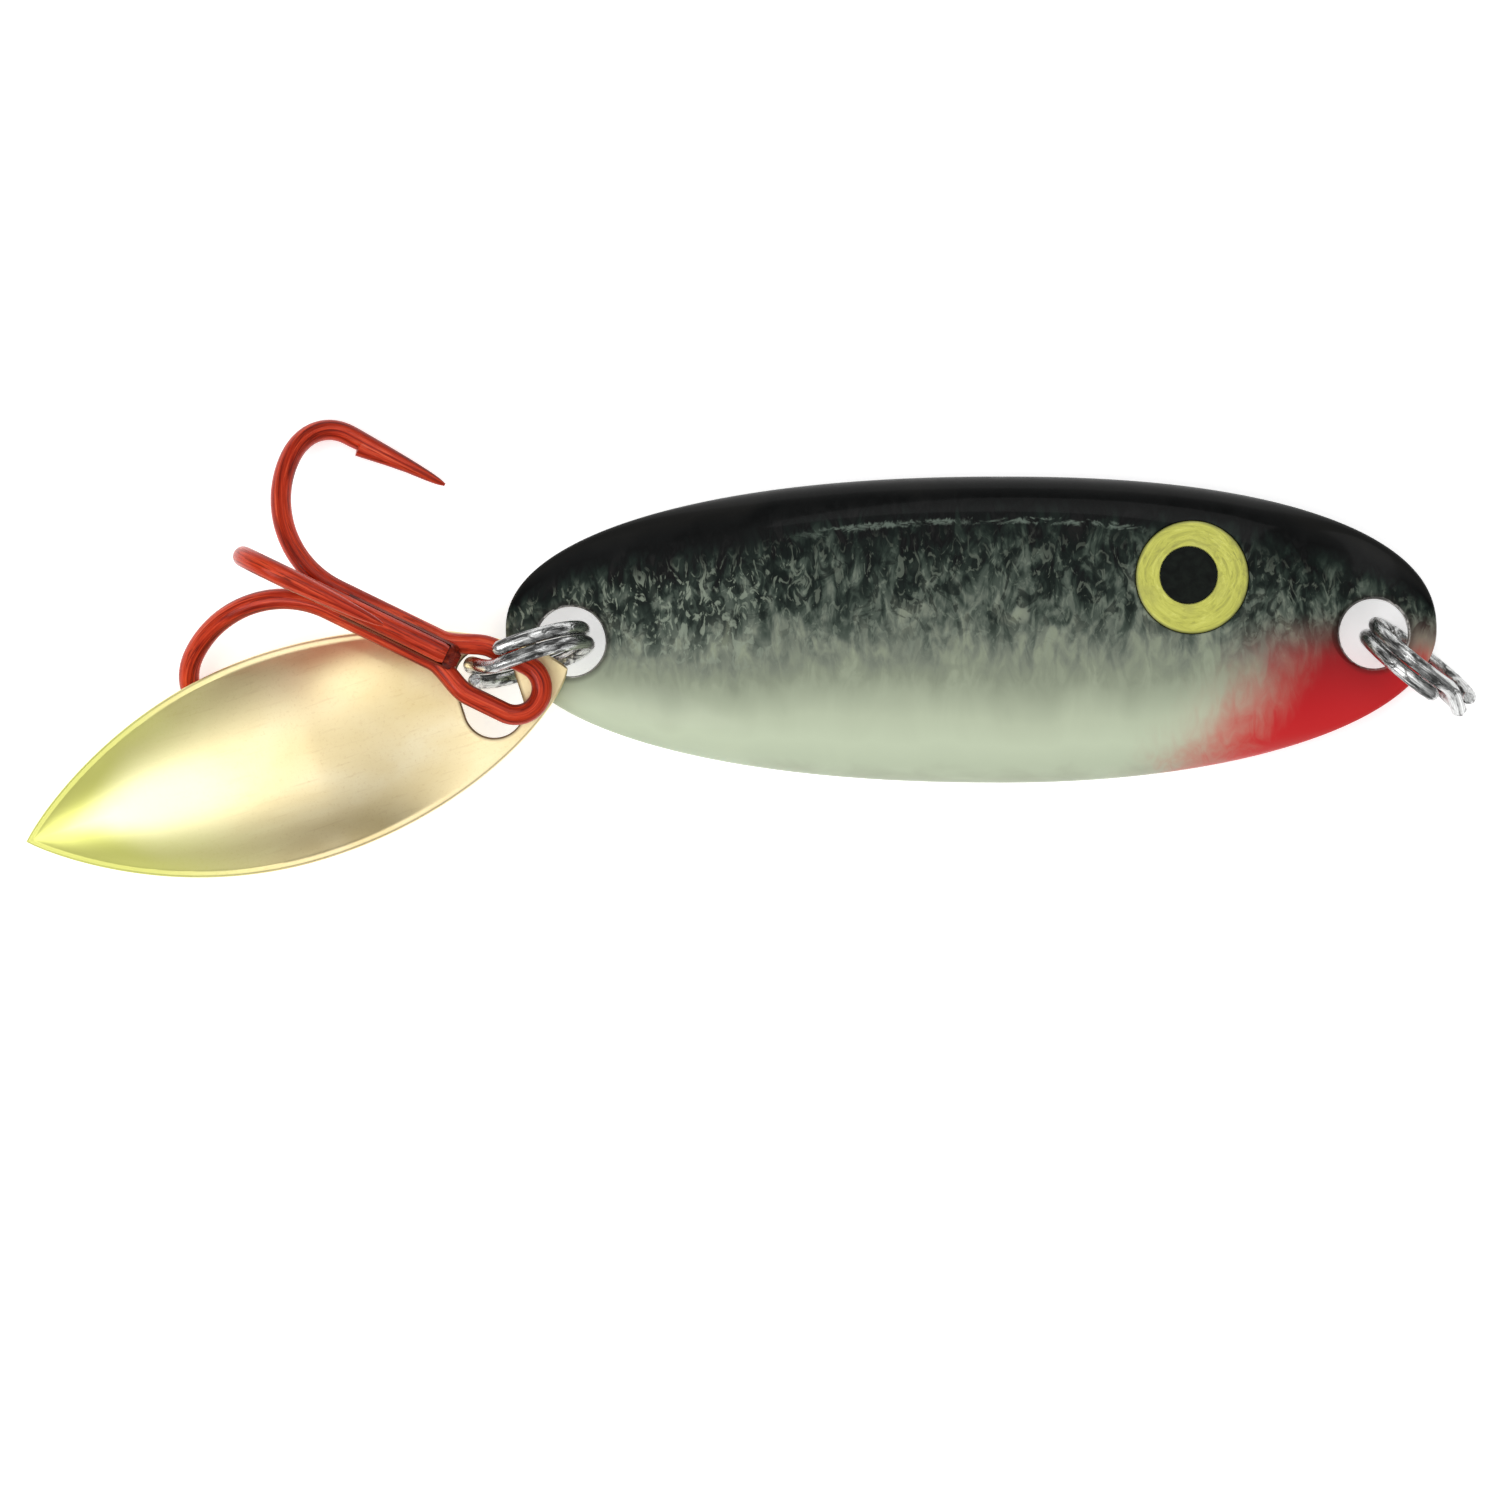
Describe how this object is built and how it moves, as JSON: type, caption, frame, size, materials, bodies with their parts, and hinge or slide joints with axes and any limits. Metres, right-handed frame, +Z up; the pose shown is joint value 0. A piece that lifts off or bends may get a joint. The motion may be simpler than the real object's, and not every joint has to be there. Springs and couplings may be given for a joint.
{
  "type": "jigging spoon",
  "caption": "Fish-shaped cast metal jigging spoon with a split ring at the nose, and a treble hook and a cupped flicker blade on a split ring at the tail.",
  "frame": {"origin": "on the flat of the body's lower side, at the middle of the body's length", "axes": "+X to the nose, +Y to the dark back of the fish, +Z up from the table that the lure lies on"},
  "size_m": [0.07, 0.0222, 0.0141],
  "materials": {
    "body_paint": "glossy",
    "iris_paint": "satin",
    "pupil_paint": "satin",
    "ring_steel": "polished",
    "hook_red": "glossy lacquer",
    "blade_gold": "satin plated"
  },
  "bodies": {
    "spoon": {"spoon_body": "body_paint", "eye_iris_upper": "iris_paint", "eye_iris_lower": "iris_paint", "eye_pupil_upper": "pupil_paint", "eye_pupil_lower": "pupil_paint"},
    "nose_ring": {"nose_split_ring": "ring_steel"},
    "tail_ring": {"tail_split_ring": "ring_steel"},
    "treble_hook": {"hook_double_wire": "hook_red", "hook_third_wire": "hook_red", "braze_fillet": "hook_red"},
    "blade": {"flicker_blade": "blade_gold"}
  },
  "joints": [
    {"name": "nose_ring_swing", "type": "hinge", "parent": "spoon", "child": "nose_ring", "pos_m": [0.01925, -0.00005, 0.00324], "axis": [0, 0, 1], "range_deg": [-60, 95]},
    {"name": "tail_ring_swing", "type": "hinge", "parent": "spoon", "child": "tail_ring", "pos_m": [-0.01863, -0.00036, 0.00324], "axis": [0, 0, 1], "range_deg": [-30, 20]},
    {"name": "hook_swing", "type": "hinge", "parent": "tail_ring", "child": "treble_hook", "pos_m": [-0.02391, -0.00192, 0.00429], "axis": [0, 0, 1], "range_deg": [-45, 0]},
    {"name": "blade_swing", "type": "hinge", "parent": "tail_ring", "child": "blade", "pos_m": [-0.02396, -0.00218, 0.00262], "axis": [0, 0, 1], "range_deg": [0, 28]}
  ]
}
